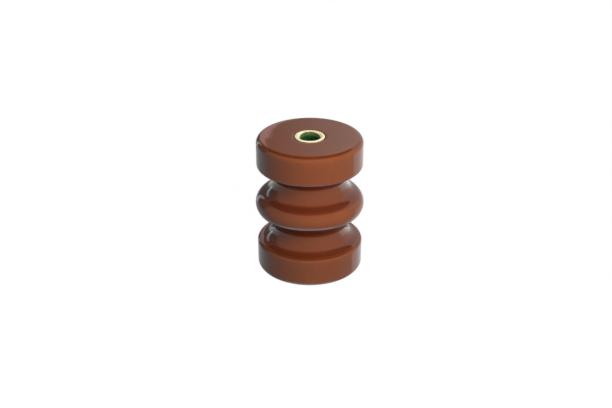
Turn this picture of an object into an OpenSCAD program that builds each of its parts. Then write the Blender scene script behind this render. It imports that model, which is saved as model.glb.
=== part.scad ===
// Post insulator: a grooved body of brown glazed porcelain with a threaded brass insert
// cemented into each end. Both ends are alike, so the part can be bolted down either way up.
// Millimetres, +Z up along the axis, origin at the centre of the lower seat.

/* [Overall] */
// Height from the lower brass seat to the upper one
overall_h = 80; // [76:1:110]
// How far each brass seat stands out of the porcelain
seat_proud = 0.3; // [0.1:0.1:1]

/* [Porcelain body] */
// Radius of the two end discs
disc_r = 30; // [28:0.5:34]
// Height of each end disc, from its face to the top of its rim
disc_h = 17.4; // [14:0.2:18.6]
// Rounding of each disc between its face and its rim
face_edge_r = 3.4; // [1:0.2:6]
// Rounding of each disc between its rim and the groove
rim_edge_r = 1.9; // [1:0.1:4]
// Radius of the bead between the two grooves
bead_r = 30.8; // [28:0.2:34]
// Rounding of the bead's outer edge
bead_edge_r = 7; // [5:0.2:9]
// Radius of the body at the bottom of the grooves
neck_r = 21; // [17:0.5:23]

/* [Cavity in each end] */
// Radius of the cavity that holds the cement
cavity_r = 8.95; // [8.8:0.05:10]
// Depth of the cavity below the end face
cavity_depth = 27; // [26:0.5:30]
// Rounding of the cavity's mouth
mouth_r = 0.35; // [0.2:0.05:0.6]
// Chamfer between the cavity's wall and its floor
floor_edge = 0.8; // [0.2:0.1:0.9]
// Number of keying grooves in the cavity's wall
key_count = 3; // [1:1:3]
// Depth of a keying groove, whose flanks slope at 45 degrees
key_depth = 0.9; // [0.4:0.1:1.4]
// Width of a keying groove at the wall
key_w = 3.6; // [3:0.2:4.6]
// Distance between keying grooves
key_pitch = 6.5; // [5:0.5:7]
// Depth of the first keying groove's middle below the end face
key_first = 6; // [4:0.5:8]

/* [Brass insert] */
// Radius of the collar, whose top is the seat
collar_r = 8.4; // [8.2:0.1:8.7]
// Thickness of the collar
collar_h = 1.6; // [1:0.1:3]
// Chamfer round the collar's edge
collar_edge = 0.25; // [0.1:0.05:0.5]
// Distance across the flats of the hexagonal shank
shank_af = 14; // [13:0.5:14]
// Depth of the insert below the end face
insert_depth = 25; // [25:0.25:25.5]
// Radius at the bottom of the shank's retaining grooves
retain_r = 6.4; // [6:0.1:6.8]
// Width of a retaining groove
retain_w = 2.4; // [1.5:0.1:3]
// Number of retaining grooves
retain_count = 3; // [1:1:3]
// Radius of the tapping hole for the M12 thread
tap_r = 5.1; // [4:0.05:5.1]
// Depth of the tapping hole's full bore below the seat
tap_depth = 20; // [16:0.5:21]
// Radius of the countersunk mouth of the thread
countersink_r = 6.9; // [5.5:0.1:7.2]

/* [Cushion] */
// Radius of the cork disc under the insert
cushion_r = 8; // [7:0.1:8.1]

/* [Hidden] */
$fn = 96;
// Angle that one facet of a rounded outline spans
arc_step = 6;
// How far a cutting solid runs past the face that it opens
over = 1;
// Angle between a drill point's flank and its axis
drill_half_angle = 59;
body_h = overall_h - 2 * seat_proud;
half_h = body_h / 2;
shank_r = shank_af / 2 / cos(30);
collar_under = seat_proud - collar_h;
retain_pitch = (insert_depth + collar_under) / retain_count;
glaze_brown = "#8a4f35";
brass_gold = "#d8bd84";
cement_grey = "#b7b2a6";
cork_tan = "#b48a5c";
sealant_dark = "#33241c";

// Points on an arc, with both its ends
function arc(centre, r, from, to) =
    let (steps = ceil(abs(to - from) / arc_step))
    [for (i = [0:steps]) let (a = from + (to - from) * i / steps) centre + r * [cos(a), sin(a)]];

// Reach of a rounded edge outside the neck, and the constant of its tangent equation
function reach(edge_r) = edge_r - neck_r;
function tangent_constant(outer_r, round_r) = (outer_r - neck_r) * (2 * round_r - outer_r + neck_r);

// Radius and height of the groove's centre: the circle that touches the neck's surface, the
// bead's edge (centred at height 0) and the disc's rim edge (centred at height rim_z)
function groove(rim_z) =
    let (k1 = 2 * reach(bead_r), k2 = 2 * reach(disc_r),
         m1 = tangent_constant(bead_r, bead_edge_r), m2 = tangent_constant(disc_r, rim_edge_r),
         a = (k1 - k2) / (2 * rim_z), b = (m1 - m2 + rim_z * rim_z) / (2 * rim_z),
         half_b = k1 - 2 * a * b)
    let (r = 2 * (b * b - m1) / (half_b + sqrt(half_b * half_b - 4 * a * a * (b * b - m1))))
    [r, a * r + b];

// Direction from one centre to another, from 0 to 360 degrees
function bearing(from, to) = (atan2(to[1] - from[1], to[0] - from[0]) + 360) % 360;

// Outer outline of the lower half, from its face up to the bead's widest point at height 0
function lower_outline() =
    let (rim_z = disc_h - rim_edge_r - half_h,
         rim_centre = [disc_r - rim_edge_r, rim_z],
         bead_centre = [bead_r - bead_edge_r, 0],
         size = groove(rim_z),
         groove_centre = [neck_r + size[0], size[1]],
         to_rim = bearing(groove_centre, rim_centre),
         to_bead = bearing(groove_centre, bead_centre))
    concat(arc([disc_r - face_edge_r, face_edge_r - half_h], face_edge_r, -90, 0),
           arc(rim_centre, rim_edge_r, 0, to_rim - 180),
           arc(groove_centre, size[0], to_rim, to_bead),
           arc(bead_centre, bead_edge_r, to_bead - 180, 0));

// The same points in the other half, in the reverse order
function other_half(points) =
    [for (i = [len(points) - 1:-1:0]) [points[i][0], -points[i][1]]];

// One keying groove, its middle at height z
function key(z) = [[cavity_r, z + key_w / 2], [cavity_r + key_depth, z + key_w / 2 - key_depth],
                   [cavity_r + key_depth, z - key_w / 2 + key_depth], [cavity_r, z - key_w / 2]];

// Wall and floor of the cavity below its mouth, with height 0 at the end face
function cavity_wall() =
    concat([for (i = [0:key_count - 1], p = key(-key_first - i * key_pitch)) p],
           [[cavity_r, floor_edge - cavity_depth], [cavity_r - floor_edge, -cavity_depth],
            [0, -cavity_depth]]);

// The whole cavity from its rounded mouth to its floor
function cavity_outline() = concat(arc([cavity_r + mouth_r, -mouth_r], mouth_r, 90, 180), cavity_wall());

// Points without the last one, which the next stretch repeats
function but_last(points) = [for (i = [0:len(points) - 2]) points[i]];

// Places a part of one end: its height 0 goes to the upper or the lower end face
module at_upper_end() translate([0, 0, overall_h - seat_proud]) children();
module at_lower_end() translate([0, 0, seat_proud]) mirror([0, 0, 1]) children();

module porcelain_body() {
    outer = lower_outline();
    upper_cavity = [for (p = cavity_outline()) p + [0, half_h]];
    color(glaze_brown) translate([0, 0, overall_h / 2]) rotate_extrude()
        polygon(concat(but_last(outer), other_half(outer), upper_cavity, other_half(upper_cavity)));
}

// Hexagonal shank with its round retaining grooves, from height bottom to height top
module shank(bottom, top) {
    difference() {
        translate([0, 0, bottom]) cylinder(r = shank_r, h = top - bottom, $fn = 6);
        for (i = [0:retain_count - 1])
            rotate_extrude() translate([retain_r, collar_under - (i + 0.5) * retain_pitch - retain_w / 2])
                square([shank_r, retain_w]);
    }
}

// Collar with a chamfered edge, its top being the seat
module collar() {
    rotate_extrude()
        polygon([[0, collar_under], [collar_r, collar_under], [collar_r, seat_proud - collar_edge],
                 [collar_r - collar_edge, seat_proud], [0, seat_proud]]);
}

// Blind tapping hole with a drill point and a countersunk mouth
module tapping_hole() {
    bore_end = seat_proud - tap_depth;
    rotate_extrude()
        polygon([[0, bore_end - tap_r / tan(drill_half_angle)], [tap_r, bore_end],
                 [tap_r, seat_proud - countersink_r + tap_r],
                 [countersink_r + over, seat_proud + over], [0, seat_proud + over]]);
}

module insert() {
    color(brass_gold) difference() {
        union() {
            collar();
            shank(-insert_depth, collar_under + collar_h / 2);
        }
        tapping_hole();
    }
}

// Cork disc between the insert's end and the cavity's floor
module cushion_disc() {
    color(cork_tan) translate([0, 0, -cavity_depth])
        cylinder(r = cushion_r, h = cavity_depth - insert_depth);
}

// Cement that fills the cavity round the shank and the cushion, up to the collar
module cement() {
    color(cement_grey) difference() {
        rotate_extrude() polygon(concat([[0, collar_under], [cavity_r, collar_under]], cavity_wall()));
        shank(-insert_depth, collar_under + over);
        translate([0, 0, -cavity_depth - over])
            cylinder(r = cushion_r, h = cavity_depth - insert_depth + over);
    }
}

// Sealing compound in the gap round the collar
module seal_ring() {
    color(sealant_dark) rotate_extrude()
        polygon([[collar_r, collar_under], [cavity_r, collar_under],
                 [cavity_r, -mouth_r], [collar_r, -mouth_r]]);
}

module upper_insert() at_upper_end() insert();
module lower_insert() at_lower_end() insert();
module upper_cement() at_upper_end() cement();
module lower_cement() at_lower_end() cement();
module upper_cushion_disc() at_upper_end() cushion_disc();
module lower_cushion_disc() at_lower_end() cushion_disc();
module upper_seal_ring() at_upper_end() seal_ring();
module lower_seal_ring() at_lower_end() seal_ring();

porcelain_body();
upper_insert();
lower_insert();
upper_cement();
lower_cement();
upper_cushion_disc();
lower_cushion_disc();
upper_seal_ring();
lower_seal_ring();
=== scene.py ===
import math

import bmesh
import bpy
from mathutils import Matrix, Vector, noise


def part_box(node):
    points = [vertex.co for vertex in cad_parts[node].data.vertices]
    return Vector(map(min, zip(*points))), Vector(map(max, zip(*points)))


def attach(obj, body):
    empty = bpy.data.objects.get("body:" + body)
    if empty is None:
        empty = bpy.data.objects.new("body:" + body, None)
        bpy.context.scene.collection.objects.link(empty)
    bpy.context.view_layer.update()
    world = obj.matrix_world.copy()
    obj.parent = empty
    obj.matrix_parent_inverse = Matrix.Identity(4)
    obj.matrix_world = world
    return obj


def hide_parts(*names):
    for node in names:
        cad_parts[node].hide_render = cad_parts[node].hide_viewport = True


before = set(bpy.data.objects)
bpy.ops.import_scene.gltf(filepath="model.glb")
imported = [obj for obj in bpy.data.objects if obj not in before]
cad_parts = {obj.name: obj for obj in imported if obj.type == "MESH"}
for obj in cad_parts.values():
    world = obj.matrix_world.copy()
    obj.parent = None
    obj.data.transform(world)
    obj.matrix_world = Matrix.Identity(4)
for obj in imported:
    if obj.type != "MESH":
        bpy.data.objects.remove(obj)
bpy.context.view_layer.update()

# Sizes are in metres and angles in degrees, in the frame's axes: +Z up the insulator's axis.
MM = 0.001
WELD = 0.0001 * MM
body_low, body_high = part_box("porcelain_body")
insert_low, insert_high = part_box("upper_insert")
cement_low, cement_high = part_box("upper_cement")
seal_low, seal_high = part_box("upper_seal_ring")
BODY_TOP = body_high.z
MIDDLE = (body_low.z + body_high.z) / 2
HALF_H = BODY_TOP - MIDDLE

# The porcelain body's outline
BEAD_R = body_high.x
BEAD_EDGE_R = 7 * MM
DISC_R = 30 * MM
DISC_H = 17.4 * MM
FACE_EDGE_R = 3.4 * MM
RIM_EDGE_R = 1.9 * MM
NECK_R = 21 * MM

# The cavity in each end
CAVITY_R = seal_high.x
CAVITY_DEPTH = BODY_TOP - cement_low.z
MOUTH_R = BODY_TOP - seal_high.z
FLOOR_EDGE = 0.8 * MM          # chamfer round the cavity's floor
KEY_DEPTH = cement_high.x - CAVITY_R
KEY_W = 3.6 * MM
KEY_PITCH = 6.5 * MM
KEY_FIRST = 6 * MM
KEYS = 3

# The brass insert
SEAT = insert_high.z - BODY_TOP
COLLAR_R = insert_high.x
COLLAR_UNDER = seal_low.z - BODY_TOP
COLLAR_EDGE = 0.25 * MM
INSERT_END = insert_low.z - BODY_TOP
SHANK_FLAT = 7 * MM
RETAIN_R = 6.4 * MM
RETAIN_W = 2.4 * MM
RETAINS = 3
COUNTERSINK_R = 6.9 * MM
TAP_DEPTH = 20 * MM
TAP_END = SEAT - TAP_DEPTH
DRILL_HALF_ANGLE = 59

# The sealing compound's top, in shares of the mouth's rounding
SEAL_EDGE = 0.3                # how far its two edges lie below the face
SEAL_SAG = 2.8                 # how far it sinks between them
SEAL_STEPS = 4

# M12 coarse thread
PITCH = 1.75 * MM
MAJOR_R = 6 * MM
MINOR_R = 5.1 * MM
RUNOUT = 0.5                   # pitches from the bore's end to the thread's start

# How the glaze lies on the body, and where highlight and shade are painted on it
GLAZE_FLOW = 1.3 * MM          # how far its lightened edges and its darkened hollows, ledges and undersides blend along the surface
THIN_AND_LIT_RADIUS = 4 * MM           # an edge with this radius is lightest, by thinner glaze and a painted highlight
POOL_AND_SHADE_RADIUS = 8 * MM           # a hollow with this radius is darkest, by pooled glaze and painted shade
HOLLOW = 0.15                  # share of the full darkening, pooled glaze and painted shade, that such a hollow gets
LEDGE_SHADE = 0.65                   # share of painted shade that a sloping ledge gets
LEDGE_RISE = (42, 56)          # the painted shade on a ledge fades in between these slopes of its upper side
LEDGE_FALL = (84, 72)          # and out again between these
UNDERSIDE_SHADE_RISE = (-12, -30)         # the same for painted shade on surfaces that face down
UNDERSIDE_SHADE_FALL = (-80, -60)
THIN_AND_LIT_RISE = (-12, 5)           # edges that face up are lightened by thinner glaze and a painted highlight, and those that face down are not
SOLE_R = 22 * MM               # middle of the bare ring that the body stood on in the kiln
SOLE_W = 6 * MM                # width of that ring
SOLE_SHARPNESS = 8             # how abruptly the ring ends
WAVINESS = 0.015 * MM          # how far the fired surface strays from the true form
WAVE = 14 * MM                 # length of one wave
NEARLY = 0.01 * MM             # two heights or radii this close count as the same


# Meshes

def arc(centre, radius, start, end, step=4):
    """Points (radius, height) on an arc, with both its ends."""
    steps = math.ceil(abs(end - start) / step)
    turns = [math.radians(start + (end - start) * i / steps) for i in range(steps + 1)]
    return [(centre[0] + radius * math.cos(a), centre[1] + radius * math.sin(a)) for a in turns]


def groove():
    """Radius and height of the circle that touches the neck, the bead's edge and the disc's rim edge,
    heights being measured from the middle of the body."""
    rim_z = DISC_H - RIM_EDGE_R - HALF_H
    bead_k, disc_k = 2 * (BEAD_R - NECK_R), 2 * (DISC_R - NECK_R)
    bead_m = (BEAD_R - NECK_R) * (2 * BEAD_EDGE_R - BEAD_R + NECK_R)
    disc_m = (DISC_R - NECK_R) * (2 * RIM_EDGE_R - DISC_R + NECK_R)
    a = (bead_k - disc_k) / (2 * rim_z)
    b = (bead_m - disc_m + rim_z * rim_z) / (2 * rim_z)
    half_b = bead_k - 2 * a * b
    radius = 2 * (b * b - bead_m) / (half_b + math.sqrt(half_b**2 - 4 * a * a * (b * b - bead_m)))
    return radius, a * radius + b


def bearing(start, end):
    """Direction from one point to another, from 0 to 360 degrees."""
    return math.degrees(math.atan2(end[1] - start[1], end[0] - start[0])) % 360


def lower_outline():
    """The lower half's outer outline, from its face to the bead's widest point."""
    radius, height = groove()
    rim = (DISC_R - RIM_EDGE_R, DISC_H - RIM_EDGE_R - HALF_H)
    bead = (BEAD_R - BEAD_EDGE_R, 0)
    centre = (NECK_R + radius, height)
    to_rim, to_bead = bearing(centre, rim), bearing(centre, bead)
    face = (DISC_R - FACE_EDGE_R, FACE_EDGE_R - HALF_H)
    return (arc(face, FACE_EDGE_R, -90, 0) + arc(rim, RIM_EDGE_R, 0, to_rim - 180)
            + arc(centre, radius, to_rim, to_bead)[1:] + arc(bead, BEAD_EDGE_R, to_bead - 180, 0)[1:])


def finish_mesh(name, points, faces, sharp=35, weld=False):
    """An object with that mesh, its faces outwards, smooth but for edges sharper than an angle."""
    mesh = bpy.data.meshes.new(name)
    mesh.from_pydata(points, [], faces)
    work = bmesh.new()
    work.from_mesh(mesh)
    if weld:
        bmesh.ops.remove_doubles(work, verts=work.verts, dist=WELD)
    bmesh.ops.recalc_face_normals(work, faces=work.faces)
    work.to_mesh(mesh)
    work.free()
    mesh.polygons.foreach_set("use_smooth", [True] * len(mesh.polygons))
    mesh.set_sharp_from_angle(angle=math.radians(sharp))
    piece = bpy.data.objects.new(name, mesh)
    bpy.context.scene.collection.objects.link(piece)
    return piece


def refine(outline, longest=1.5 * MM):
    """The same outline with points added, so that no stretch is longer than that."""
    points = [outline[0]]
    for end in outline[1:]:
        start = points[-1]
        steps = math.ceil(math.dist(start, end) / longest)
        points += [(start[0] + (end[0] - start[0]) * i / steps, start[1] + (end[1] - start[1]) * i / steps)
                   for i in range(1, steps + 1)]
    return points


def mark(piece, name, values):
    """Writes one number for each point of the mesh, which a material reads by that name."""
    piece.data.attributes.new(name, "FLOAT", "POINT").data.foreach_set("value", values)


def lathe(name, outline, marks=(), segments=144):
    """Turns an outline of (radius, height) round Z. Ends on the axis close with one point; otherwise the
    outline is a closed loop. marks is {name: a number for each point of the outline}."""
    loop = outline[0][0] > 0
    points, rings, owners = [], [], []
    for i, (radius, height) in enumerate(outline):
        count = segments if radius > 0 else 1
        rings.append([len(points) + k % count for k in range(segments)])
        turns = [2 * math.pi * k / segments for k in range(count)]
        points += [(radius * math.cos(a), radius * math.sin(a), height) for a in turns]
        owners += [i] * count
    faces = []
    for low, high in zip(rings, rings[1:] + rings[:1] if loop else rings[1:]):
        for k in range(segments):
            n = (k + 1) % segments
            corners = [low[k], low[n], high[n], high[k]]
            faces.append(list(dict.fromkeys(corners)))
    piece = finish_mesh(name, points, faces)
    for key, values in dict(marks).items():
        mark(piece, key, [values[i] for i in owners])
    return piece


def other_half(outline):
    """The outline mirrored in height, run the other way."""
    return [(r, -z) for r, z in reversed(outline)]


def key(height):
    """One keying groove in the cavity's wall, with sloping flanks."""
    flank, half = CAVITY_R + KEY_DEPTH, KEY_W / 2
    return [(CAVITY_R, height + half), (flank, height + half - KEY_DEPTH),
            (flank, height - half + KEY_DEPTH), (CAVITY_R, height - half)]


def cavity():
    """The cavity from its rounded mouth to the middle of its floor, below an end face at height 0."""
    walls = [p for i in range(KEYS) for p in key(-KEY_FIRST - i * KEY_PITCH)]
    bottom = [(CAVITY_R, FLOOR_EDGE - CAVITY_DEPTH), (CAVITY_R - FLOOR_EDGE, -CAVITY_DEPTH),
              (0, -CAVITY_DEPTH)]
    return arc((CAVITY_R + MOUTH_R, -MOUTH_R), MOUTH_R, 90, 180, step=15) + walls + bottom


def smooth_step(value, low, high):
    """0 below low and 1 above high, or the other way round where low is the higher."""
    share = min(1, max(0, (value - low) / (high - low)))
    return share * share * (3 - 2 * share)


def glaze_marks(outline):
    """Where the glaze is lightened and where it is darkened, both from 0 to 1. It is lighter over edges that
    face up, as thinner glaze with a painted highlight; darker in hollows, as pooled glaze with painted shade;
    and darker on sloping ledges and surfaces that face down, as painted shade. Curvature is averaged along
    the outline."""
    travelled = [0]
    for a, b in zip(outline, outline[1:]):
        travelled.append(travelled[-1] + math.dist(a, b))
    headings = [bearing(a, b) for a, b in zip(outline, outline[1:])]
    bends = [0] + [math.radians((b - a + 180) % 360 - 180) for a, b in zip(headings, headings[1:])] + [0]
    thin_and_lit, pool_and_shade = [], []
    for i, s in enumerate(travelled):
        near = [(math.exp(-((s - t) / GLAZE_FLOW) ** 2 / 2), bend) for t, bend in zip(travelled, bends)]
        curve = sum(w * bend for w, bend in near) / (GLAZE_FLOW * math.sqrt(2 * math.pi))
        facing_up = (headings[min(i, len(headings) - 1)] + 90) % 360 - 180
        # Painted shade on surfaces whose upper side slopes between these angles
        ledge_shade = smooth_step(facing_up, *LEDGE_RISE) * smooth_step(facing_up, *LEDGE_FALL)
        # Painted shade on surfaces that face down, under the discs and the bead
        underside_shade = smooth_step(facing_up, *UNDERSIDE_SHADE_RISE) * smooth_step(facing_up, *UNDERSIDE_SHADE_FALL)
        # Painted highlight, with thinner glaze, over edges that face up
        thin_and_lit.append(min(1, max(0, curve * THIN_AND_LIT_RADIUS)) * smooth_step(facing_up, *THIN_AND_LIT_RISE))
        # Darker in hollows: pooled glaze and painted shade
        hollow = min(1, max(0, -curve * POOL_AND_SHADE_RADIUS))
        pool_and_shade.append(max(hollow * HOLLOW, ledge_shade * LEDGE_SHADE, underside_shade))
    return {"thin_and_lit": thin_and_lit, "pool_and_shade": pool_and_shade}


def bareness(radius, height):
    """1 on the kiln ring of the underside, falling to 0 at its edges, and 0 elsewhere."""
    if height > 0 or abs(height + HALF_H) >= NEARLY:
        return 0
    return max(0, 1 - (2 * abs(radius - SOLE_R) / SOLE_W) ** SOLE_SHARPNESS)


def porcelain():
    """The glazed body, turned from one outline that runs from the lower cavity round to the upper one."""
    outer = lower_outline()
    mouth = [(r, z + HALF_H) for r, z in cavity()]
    half = other_half(mouth)
    outside = refine([half[-1]] + outer + other_half(outer)[1:] + [mouth[0]])
    outline = half[:-1] + outside + mouth[1:]
    marks = glaze_marks(outline)
    marks["bare"] = [bareness(radius, height) for radius, height in outline]
    piece = lathe("glazed_body", outline, marks)
    outward = [v.normal.copy() for v in piece.data.vertices]
    for v, normal in zip(piece.data.vertices, outward):
        if math.hypot(v.co.x, v.co.y) > CAVITY_R + KEY_DEPTH + MM:
            v.co += normal * WAVINESS * noise.noise(v.co / WAVE)
    piece.data.transform(Matrix.Translation((0, 0, MIDDLE)))
    return piece


def ring(radius, height, columns):
    """Points round one turn. radius is a number or a function of the angle in degrees."""
    points = []
    for k in range(columns):
        angle = 360 * k / columns
        r = radius(angle) if callable(radius) else radius
        points.append((r * math.cos(math.radians(angle)), r * math.sin(math.radians(angle)), height))
    return points


def hexagon(angle):
    """Radius of the shank at that angle, which has a corner on +X."""
    return SHANK_FLAT / math.cos(math.radians(angle % 60 - 30))


# Height within one pitch, as shares of it, and radius of the thread's profile there
THREAD_PROFILE = [(0, MINOR_R), (1 / 8, MINOR_R), (7 / 16, MAJOR_R), (1 / 2, MAJOR_R),
                  (9 / 16, MAJOR_R), (7 / 8, MINOR_R)]


def thread_point(angle, height, radius):
    """A point on the thread's wall, cut off by the countersunk mouth and faded out at the bore's end."""
    height = min(max(height, TAP_END), SEAT)
    fade = min(1, max(0, (height - TAP_END) / PITCH - RUNOUT))
    cone = COUNTERSINK_R - (SEAT - height)
    radius = max(MINOR_R + (radius - MINOR_R) * fade, cone)
    return radius * math.cos(math.radians(angle)), radius * math.sin(math.radians(angle)), height


def insert_rings(columns):
    """Rings of the insert's outside, from the shank's end up to the edge of the countersunk mouth."""
    rings = [ring(hexagon, INSERT_END, columns)]
    spacing = (COLLAR_UNDER - INSERT_END) / RETAINS
    for i in reversed(range(RETAINS)):
        middle = COLLAR_UNDER - (i + 0.5) * spacing
        low, high = middle - RETAIN_W / 2, middle + RETAIN_W / 2
        rings += [ring(hexagon, low, columns), ring(RETAIN_R, low, columns),
                  ring(RETAIN_R, high, columns), ring(hexagon, high, columns)]
    return rings + [ring(hexagon, COLLAR_UNDER, columns), ring(COLLAR_R, COLLAR_UNDER, columns),
                    ring(COLLAR_R, SEAT - COLLAR_EDGE, columns), ring(COLLAR_R - COLLAR_EDGE, SEAT, columns),
                    ring(COUNTERSINK_R, SEAT, columns)]


def thread_wall(start, columns):
    """Points and faces of the thread's wall and of the drill point below it, numbered from start."""
    turns = math.ceil((SEAT - TAP_END) / PITCH) + 1
    rows = [(TAP_END + (turn - 1 + share) * PITCH, radius) for turn in range(turns + 1)
            for share, radius in THREAD_PROFILE]
    points, faces = [], []
    for height, radius in rows:
        for k in range(columns):
            points.append(thread_point(360 * k / columns, height + PITCH * k / columns, radius))
    step = len(THREAD_PROFILE)
    last = len(rows) - 1
    for i in range(last):
        for k in range(columns):
            # The last column joins the first one a whole pitch higher up, which makes the walls one helix.
            n, up = (k + 1, 0) if k + 1 < columns else (0, step)
            a = start + min(i + up, last) * columns + n
            b = start + min(i + up + 1, last) * columns + n
            faces.append([start + i * columns + k, start + (i + 1) * columns + k, b, a])
    tip = start + len(points)
    points.append((0, 0, TAP_END - MINOR_R / math.tan(math.radians(DRILL_HALF_ANGLE))))
    faces += [[start + k, start + (k + 1) % columns, tip] for k in range(columns)]
    return points, faces


def bore_depths(mesh):
    """Depth of each point below the seat in the threaded hole and its mouth, and 0 elsewhere."""
    depths = []
    for v in mesh.vertices:
        wall = max(MAJOR_R, COUNTERSINK_R - (SEAT - v.co.z)) + NEARLY
        inside = math.hypot(v.co.x, v.co.y) < wall and v.co.z > INSERT_END + MM
        depths.append(SEAT - v.co.z if inside else 0)
    return depths


def insert(name, columns=96):
    """Brass insert with a real right-hand thread, its height 0 being the porcelain's face."""
    rings = insert_rings(columns)
    points = [(0, 0, INSERT_END)] + [point for r in rings for point in r]
    faces = [[0, 1 + (k + 1) % columns, 1 + k] for k in range(columns)]
    for i in range(len(rings) - 1):
        low = 1 + i * columns
        high = low + columns
        for k in range(columns):
            n = (k + 1) % columns
            faces.append([low + k, low + n, high + n, high + k])
    wall_points, wall_faces = thread_wall(len(points), columns)
    piece = finish_mesh(name, points + wall_points, faces + wall_faces, sharp=25, weld=True)
    mark(piece, "depth", bore_depths(piece.data))
    return piece


def seal(name):
    """Sealing compound round the collar, sunk a little between its two edges."""
    gap = CAVITY_R - COLLAR_R
    shares = [i / SEAL_STEPS for i in range(SEAL_STEPS + 1)]
    top = [(CAVITY_R - gap * t, -MOUTH_R * (SEAL_EDGE + SEAL_SAG * t * (1 - t))) for t in shares]
    return lathe(name, [(COLLAR_R, COLLAR_UNDER), (CAVITY_R, COLLAR_UNDER)] + top)


def at_upper_end(piece):
    """Lifts a piece made at height 0 to the upper face."""
    piece.data.transform(Matrix.Translation((0, 0, BODY_TOP)))
    return piece


def at_lower_end(piece):
    """Turned over and not mirrored, so that the thread stays right-handed."""
    piece.data.transform(Matrix.Translation((0, 0, body_low.z)) @ Matrix.Rotation(math.pi, 4, "X"))
    return piece


# Materials

def new_material(name):
    """A material, its node tree and its shader."""
    material = bpy.data.materials.new(name)
    material.use_nodes = True
    return material, material.node_tree, material.node_tree.nodes["Principled BSDF"]


def node(tree, kind, settings=(), **inputs):
    """Adds a node. settings are its properties, and inputs are sockets by name, given a value or another
    node's socket."""
    made = tree.nodes.new("ShaderNode" + kind)
    for key, value in dict(settings).items():
        setattr(made, key, value)
    connect(tree, made, inputs)
    return made


def connect(tree, target, inputs):
    """Sets or links sockets. A name's underscores stand for spaces, and _0 is the first socket."""
    for key, value in inputs.items():
        socket = target.inputs[int(key[1:])] if key[0] == "_" else target.inputs[key.replace("_", " ")]
        if isinstance(value, bpy.types.NodeSocket):
            tree.links.new(value, socket)
        else:
            socket.default_value = value


def attribute(tree, name):
    """A number that mark() wrote on the mesh."""
    return node(tree, "Attribute", {"attribute_name": name}).outputs["Fac"]


def place(tree):
    """Position in the frame's axes."""
    return node(tree, "TexCoord").outputs["Object"]


def blotches(tree, size, detail=3, roughness=0.5):
    """Noise from 0 to 1 with blotches of that size."""
    made = node(tree, "TexNoise", Vector=place(tree), Scale=1 / size, Detail=detail, Roughness=roughness)
    return made.outputs["Fac"]


def ramp(tree, value, *stops):
    """A number or colour for each value; stops are (value, number or colour)."""
    made = node(tree, "ValToRGB", Fac=value)
    elements = made.color_ramp.elements
    elements.remove(elements[1])
    for i, (at, tint) in enumerate(stops):
        element = elements[0] if i == 0 else elements.new(at)
        element.position = at
        element.color = (*tint, 1) if isinstance(tint, tuple) else (tint, tint, tint, 1)
    return made.outputs["Color"]


def blend(tree, share, first, second, kind="MIX"):
    """Mixes, adds or multiplies two colours, the second one taking part by share. All three may be sockets.
    A Mix node's colours are its inputs 6 and 7 and its output 2."""
    made = node(tree, "Mix", {"data_type": "RGBA", "blend_type": kind}, _0=share)
    for socket, tint in ((made.inputs[6], first), (made.inputs[7], second)):
        if isinstance(tint, tuple):
            socket.default_value = (*tint, 1)
        else:
            tree.links.new(tint, socket)
    return made.outputs[2]


def math_node(tree, operation, *inputs):
    """One arithmetic step on numbers or sockets."""
    made = node(tree, "Math", {"operation": operation})
    connect(tree, made, {f"_{i}": value for i, value in enumerate(inputs)})
    return made.outputs[0]


def bump(tree, height, distance, strength=1.0, normal=None):
    """A normal tilted as by a relief of that height in metres, on top of another normal if one is given."""
    made = node(tree, "Bump", Height=height, Distance=distance, Strength=strength)
    if normal:
        tree.links.new(normal, made.inputs["Normal"])
    return made.outputs["Normal"]


BROWN = (0.132, 0.029, 0.005)
# Lighter brown over edges that face up: thinner glaze and a painted highlight
THIN_AND_LIT_BROWN = (0.200, 0.050, 0.008)
THIN_AND_LIT_SHARE = 0.15              # how much of it shows on the lightest edges, as thinner glaze with a painted highlight
# Darker brown: pooled glaze and painted shade in hollows, painted shade on ledges and undersides
POOLED_AND_SHADED_BROWN = (0.058, 0.008, 0.007)
POOLED_AND_SHADED_SHARE = 0.8             # how much of it shows where the darkening, pooled glaze and painted shade, is strongest
BISCUIT = (0.62, 0.50, 0.38)   # bare fired porcelain
MOTTLE = 9 * MM                # size of the faint light and dark blotches
SPECKS = 2.2 * MM              # distance between the small dark specks
SPECK_SHARE = 0.6              # how strongly they show
SAND = 0.3 * MM                # size of the kiln ring's grains


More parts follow.
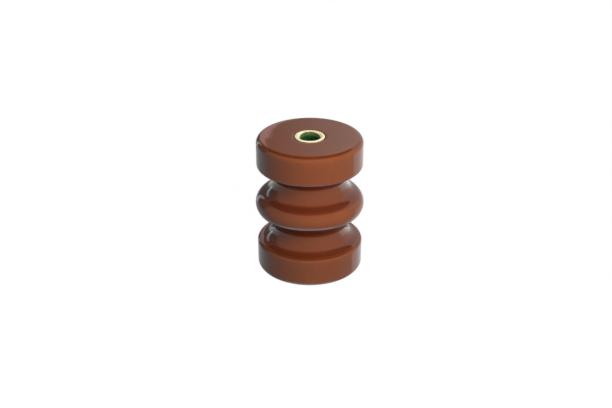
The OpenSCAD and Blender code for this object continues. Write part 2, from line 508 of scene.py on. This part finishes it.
def glaze():
    """Brown glaze: lighter over edges that face up, as thinner glaze with a painted highlight; darker in
    hollows, as pooled glaze with painted shade, and on ledges and undersides, as painted shade; faintly
    mottled and specked, and bare porcelain on the kiln ring."""
    material, tree, shader = new_material("brown_glaze")
    bare = attribute(tree, "bare")
    # Painted highlight, with thinner glaze, over edges that face up
    thin_and_lit = math_node(tree, "MULTIPLY", attribute(tree, "thin_and_lit"), THIN_AND_LIT_SHARE)
    # Painted shade in hollows, on ledges and on undersides, with pooled glaze in the hollows
    pool_and_shade = math_node(tree, "MULTIPLY", attribute(tree, "pool_and_shade"), POOLED_AND_SHADED_SHARE)
    tint = blend(tree, pool_and_shade, blend(tree, thin_and_lit, BROWN, THIN_AND_LIT_BROWN), POOLED_AND_SHADED_BROWN)
    mottle = ramp(tree, blotches(tree, MOTTLE), (0.3, 0.94), (0.7, 1.04))
    tint = blend(tree, 1.0, tint, mottle, "MULTIPLY")
    cells = node(tree, "TexVoronoi", Vector=place(tree), Scale=1 / SPECKS, Randomness=1.0)
    speck = ramp(tree, cells.outputs["Distance"], (0.05, 0.55), (0.11, 1.0))
    tint = blend(tree, SPECK_SHARE, tint, blend(tree, 1.0, tint, speck, "MULTIPLY"))
    grain = ramp(tree, blotches(tree, 0.5 * MM, 6), (0.3, 0.82), (0.7, 1.05))
    biscuit = blend(tree, 1.0, BISCUIT, grain, "MULTIPLY")
    skin = bump(tree, blotches(tree, 2.5 * MM, 2), 0.004 * MM)
    sand = bump(tree, blotches(tree, SAND, 4), 0.03 * MM, bare, skin)
    connect(tree, shader, {
        "Base Color": blend(tree, bare, tint, biscuit),
        "Roughness": ramp(tree, bare, (0, 0.04), (1, 0.8)),
        "Normal": sand,
        "IOR": 1.5,
    })
    return material


BRASS = (0.98, 0.86, 0.54)
BRASS_DULL = (0.80, 0.62, 0.34)
# Dark green deep in the bore: the green film with painted shade
SHADED_VERDIGRIS = (0.010, 0.060, 0.022)
VERDIGRIS_PALE = (0.070, 0.100, 0.030)
FILM_AND_SHADE_CREEP = 1.2 * MM               # how much higher the green film reaches on the sides that face +Y and -Y, which paints shade on the far side of the mouth
TOOL_MARK = 0.15 * MM          # width of one turned ring


def brass():
    """Turned brass with fine tool rings on its seat. A green film in the bore is painted darker with depth,
    as shade, and reaches higher up the countersunk mouth on the sides that face +Y and -Y, which paints shade
    on the far side of the mouth."""
    material, tree, shader = new_material("turned_brass")
    depth = attribute(tree, "depth")
    y = node(tree, "SeparateXYZ", Vector=place(tree)).outputs["Y"]
    # Painted shade: the film reaches higher on the sides that face +Y and -Y, darkening the far side of the
    # mouth
    shade_creep = math_node(tree, "MULTIPLY", math_node(tree, "ABSOLUTE", y), FILM_AND_SHADE_CREEP / COUNTERSINK_R)
    edge = math_node(tree, "SUBTRACT", math_node(tree, "ADD", depth, shade_creep), FILM_AND_SHADE_CREEP)
    below_edge = ramp(tree, math_node(tree, "DIVIDE", edge, MM), (0.0, 0.0), (0.3, 1.0))
    below_seat = ramp(tree, math_node(tree, "DIVIDE", depth, MM), (0.0, 0.0), (0.1, 1.0))
    film_and_shade = math_node(tree, "MULTIPLY", below_edge, below_seat)
    tarnish = ramp(tree, blotches(tree, 3 * MM, 4), (0.45, 0.0), (0.75, 0.55))
    metal = blend(tree, tarnish, BRASS, BRASS_DULL)
    # The green film is painted darker with depth in the bore, as shade
    bore_shade = ramp(tree, math_node(tree, "DIVIDE", depth, 10 * MM), (0.05, 0.0), (0.3, 1.0))
    green = blend(tree, bore_shade, VERDIGRIS_PALE, SHADED_VERDIGRIS)
    patchy = ramp(tree, blotches(tree, 1.5 * MM, 3), (0.35, 0.6), (0.65, 1.3))
    level = node(tree, "VectorMath", {"operation": "MULTIPLY"}, _0=place(tree), _1=(1, 1, 0))
    radius = node(tree, "VectorMath", {"operation": "LENGTH"}, _0=level.outputs[0])
    rings = node(tree, "TexNoise", {"noise_dimensions": "1D"}, W=radius.outputs["Value"],
                 Scale=1 / TOOL_MARK, Detail=2)
    connect(tree, shader, {
        "Base Color": blend(tree, film_and_shade, metal, blend(tree, 1.0, green, patchy, "MULTIPLY")),
        "Metallic": ramp(tree, film_and_shade, (0, 0.45), (1, 0.1)),
        "Roughness": ramp(tree, tarnish, (0, 0.28), (1, 0.42)),
        "Normal": bump(tree, rings.outputs["Fac"], 0.02 * MM),
    })
    return material


def compound():
    """Dark sealing compound, slightly glossy and lumpy."""
    material, tree, shader = new_material("sealing_compound")
    tint = blend(tree, blotches(tree, 1.2 * MM, 4), (0.012, 0.008, 0.006), (0.035, 0.024, 0.018))
    connect(tree, shader, {"Base Color": tint,
                           "Roughness": ramp(tree, blotches(tree, 0.8 * MM), (0.3, 0.35), (0.7, 0.6)),
                           "Normal": bump(tree, blotches(tree, 0.6 * MM), 0.03 * MM)})
    return material


def grout():
    """Grey cement with sand grains and small air holes, their insides painted darker as shade."""
    material, tree, shader = new_material("cement_grout")
    tint = blend(tree, blotches(tree, 4 * MM, 5, 0.65), (0.36, 0.34, 0.30), (0.56, 0.53, 0.47))
    cells = node(tree, "TexVoronoi", Vector=place(tree), Scale=1 / (0.9 * MM)).outputs["Distance"]
    holes = ramp(tree, cells, (0.06, 0.0), (0.16, 1.0))
    # Painted shade inside the air holes
    tint = blend(tree, ramp(tree, holes, (0, 0.6), (1, 0.0)), tint, (0.17, 0.16, 0.14))
    lumps = bump(tree, blotches(tree, 0.5 * MM, 6), 0.06 * MM)
    connect(tree, shader, {"Base Color": tint, "Roughness": ramp(tree, holes, (0, 0.95), (1, 0.85)),
                           "Normal": bump(tree, holes, 0.1 * MM, 0.8, lumps)})
    return material


def cork():
    """Pressed cork: tan granules with dark seams and a few brown bark specks."""
    material, tree, shader = new_material("pressed_cork")
    cells = node(tree, "TexVoronoi", Vector=place(tree), Scale=1 / (1.4 * MM))
    shade = node(tree, "SeparateColor", Color=cells.outputs["Color"]).outputs[0]
    tint = ramp(tree, shade, (0.0, (0.20, 0.10, 0.045)), (0.12, (0.42, 0.25, 0.12)),
                (0.6, (0.52, 0.33, 0.17)), (1.0, (0.60, 0.41, 0.22)))
    seams = ramp(tree, cells.outputs["Distance"], (0.35, 1.0), (0.75, 0.65))
    connect(tree, shader, {"Base Color": blend(tree, 1.0, tint, seams, "MULTIPLY"),
                           "Roughness": ramp(tree, shade, (0, 0.8), (1, 0.95)),
                           "Normal": bump(tree, seams, 0.08 * MM, 0.7)})
    return material


# Pieces

def add(piece, cad_node, material):
    """Puts a piece in the place of a CAD node."""
    piece.data.materials.append(material)
    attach(piece, "root")
    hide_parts(cad_node)


brass_metal, sealant = brass(), compound()
add(porcelain(), "porcelain_body", glaze())
add(at_upper_end(insert("threaded_insert_upper")), "upper_insert", brass_metal)
add(at_lower_end(insert("threaded_insert_lower")), "lower_insert", brass_metal)
add(at_upper_end(seal("sealing_bead_upper")), "upper_seal_ring", sealant)
add(at_lower_end(seal("sealing_bead_lower")), "lower_seal_ring", sealant)

# Cement and cork keep their CAD shapes and get their own materials.
for filling, finish in (("cement", grout()), ("cushion_disc", cork())):
    for end in ("upper", "lower"):
        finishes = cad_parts[f"{end}_{filling}"].data.materials
        finishes.clear()
        finishes.append(finish)


# Studio

# The floor
FLOOR_REACH = 40               # half its width
FLOOR_GLOW = 0.95              # its own radiance, which keeps it near-white
FLOOR_DARK = (0.84, 0.84, 0.84)
FLOOR_PALE = (0.86, 0.86, 0.86)

# What the glaze reflects, as radiances
FRONT = 0.60                   # walls in front and at the sides
FRONT_SLOPE = (0.06, 0, 0)     # how that changes towards +X
BACK_LEFT = 0.24               # wall behind, on the left
BACK_RIGHT = 0.80              # wall behind, on the right
BACK_BEND = (0.475, 0.53)      # where one gives way to the other, 0 being -X and 1 being +X
BACK_EDGE = (0.24, 0.30)       # where the wall behind starts, 0 being beside the part and 1 straight behind
TABLE = 0.36                   # how much brighter the table is than the wall behind
TABLE_EDGE = (0.44, 0.48)      # where the table ends, 0 being straight down and 1 straight up
NEAR_TABLE = 1.2               # how much brighter it is straight below
NEAR_EDGE = (0.03, 0.09)       # where that part of it ends
CEILING = 0.04
CEILING_TILT = 15              # the ceiling's middle is this far behind the zenith
CEILING_SPREAD = 38            # angle from its middle to its edge
CEILING_BLUR = 0.015           # softness of that edge, as a difference of cosines


def softbox(name, place_at, size, glow, diffuse=True, gloss=True, tint=(1, 1, 1), roll=0):
    """A soft rectangular light aimed at the body and turned by roll about that aim. glow is its radiance and
    tint its colour, and it may light only what is matt or show only in what is glossy."""
    width, height = size
    data = bpy.data.lights.new(name, "AREA")
    data.shape = "RECTANGLE"
    data.size = width
    data.size_y = height
    data.energy = glow * math.pi * width * height
    data.color = tint
    lamp = bpy.data.objects.new(name, data)
    lamp.location = place_at
    aim = (Vector((0, 0, MIDDLE)) - Vector(place_at)).to_track_quat("-Z", "Y")
    lamp.rotation_euler = (aim.to_matrix() @ Matrix.Rotation(math.radians(roll), 3, "Z")).to_euler()
    lamp.visible_camera = False
    lamp.visible_diffuse = diffuse
    lamp.visible_glossy = gloss
    bpy.context.scene.collection.objects.link(lamp)
    return lamp


def around(azimuth, elevation, distance):
    """A point that far from the body's middle, azimuth 0 being in front and 90 on the right."""
    turn, up = math.radians(azimuth), math.radians(elevation)
    level = distance * math.cos(up)
    return level * math.sin(turn), -level * math.cos(turn), MIDDLE + distance * math.sin(up)


def floor():
    """A wide pale floor that glows a little, as paper does on a light table."""
    material, tree, shader = new_material("pale_floor")
    connect(tree, shader, {"Base Color": blend(tree, blotches(tree, 0.3, 2), FLOOR_DARK, FLOOR_PALE),
                           "Roughness": 0.9,
                           "Emission Color": (1, 1, 1, 1),
                           "Emission Strength": FLOOR_GLOW})
    corners = [(x * FLOOR_REACH, y * FLOOR_REACH, 0) for x, y in ((-1, -1), (1, -1), (1, 1), (-1, 1))]
    ground = finish_mesh("floor", corners, [[0, 1, 2, 3]])
    ground.data.materials.append(material)
    ground.visible_diffuse = False
    ground.visible_glossy = False
    return ground


def camera(distance=0.622, elevation=26.7, focal=64.2, shift=(-0.0062, -0.0057)):
    """A camera in front of the body, looking down at its middle."""
    data = bpy.data.cameras.new("camera")
    data.lens = focal
    data.shift_x, data.shift_y = shift
    data.clip_start = 0.01
    made = bpy.data.objects.new("camera", data)
    made.location = around(0, elevation, distance)
    made.rotation_euler = (Vector((0, 0, MIDDLE)) - made.location).to_track_quat("-Z", "Y").to_euler()
    bpy.context.scene.collection.objects.link(made)
    bpy.context.scene.camera = made


def along(tree, direction, axis):
    """How far a direction points along an axis."""
    return node(tree, "VectorMath", {"operation": "DOT_PRODUCT"}, _0=direction, _1=axis).outputs["Value"]


def surroundings():
    """What the glaze reflects: pale walls, brighter behind on the right, a bright table behind the part and
    close under it, and a dark round ceiling. Matt surfaces don't see it, as the softboxes light them."""
    world = bpy.data.worlds.new("studio")
    bpy.context.scene.world = world
    world.use_nodes = True
    world.cycles_visibility.diffuse = False
    tree = world.node_tree
    direction = node(tree, "TexCoord").outputs["Generated"]
    front = math_node(tree, "ADD", along(tree, direction, FRONT_SLOPE), FRONT)
    sideways = math_node(tree, "ADD", along(tree, direction, (0.5, 0, 0)), 0.5)
    back = ramp(tree, sideways, (BACK_BEND[0], BACK_LEFT), (BACK_BEND[1], BACK_RIGHT))
    height = math_node(tree, "ADD", along(tree, direction, (0, 0, 0.5)), 0.5)
    table = ramp(tree, height, (NEAR_EDGE[0], NEAR_TABLE), (NEAR_EDGE[1], TABLE),
                 (TABLE_EDGE[0], TABLE), (TABLE_EDGE[1], 0.0))
    beneath = ramp(tree, height, (NEAR_EDGE[0], NEAR_TABLE), (NEAR_EDGE[1], 0.0))
    behind = ramp(tree, along(tree, direction, (0, 1, 0)), (BACK_EDGE[0], 0.0), (BACK_EDGE[1], 1.0))
    pale = blend(tree, behind, blend(tree, 1.0, front, beneath, "ADD"), blend(tree, 1.0, back, table, "ADD"))
    tilt = math.radians(CEILING_TILT)
    edge = math.cos(math.radians(CEILING_SPREAD))
    upward = along(tree, direction, (0, math.sin(tilt), math.cos(tilt)))
    ceiling = ramp(tree, upward, (edge - CEILING_BLUR, 0.0), (edge, 1.0))
    seen = blend(tree, ceiling, pale, (CEILING, CEILING, CEILING))
    tree.links.new(seen, tree.nodes["Background"].inputs["Color"])


ground = floor()
camera()
surroundings()
key_light = softbox("key", around(23, 30, 0.3), (0.15, 0.15), 18, gloss=False)
softbox("fill", around(-60, 30, 0.9), (0.8, 0.8), 0.25, gloss=False)
softbox("low_fill", around(22, 4, 0.7), (0.5, 0.12), 9, gloss=False)
top_light = softbox("top", (0.3, 0, 1.05), (0.5, 0.5), 6.5, gloss=False)
back_light = softbox("back", around(180, 8, 0.9), (0.8, 0.8), 4.5, gloss=False)
softbox("left_strip", around(-142, 8, 1), (0.14, 0.75), 1.2, diffuse=False, tint=(0.86, 0.96, 1))
softbox("left_back_panel", around(-168, 22.2, 1.47), (0.4, 0.5), 0.95, diffuse=False,
        tint=(1, 0.65, 0.68), roll=-41)

# These three light the body only, so that the floor stays an even white.
not_lit = bpy.data.collections.new("kept_off_the_floor")
not_lit.objects.link(ground)
for lamp in (key_light, top_light, back_light):
    lamp.light_linking.receiver_collection = not_lit
not_lit.collection_objects[0].light_linking.link_state = "EXCLUDE"
bpy.context.scene.view_settings.view_transform = "Standard"
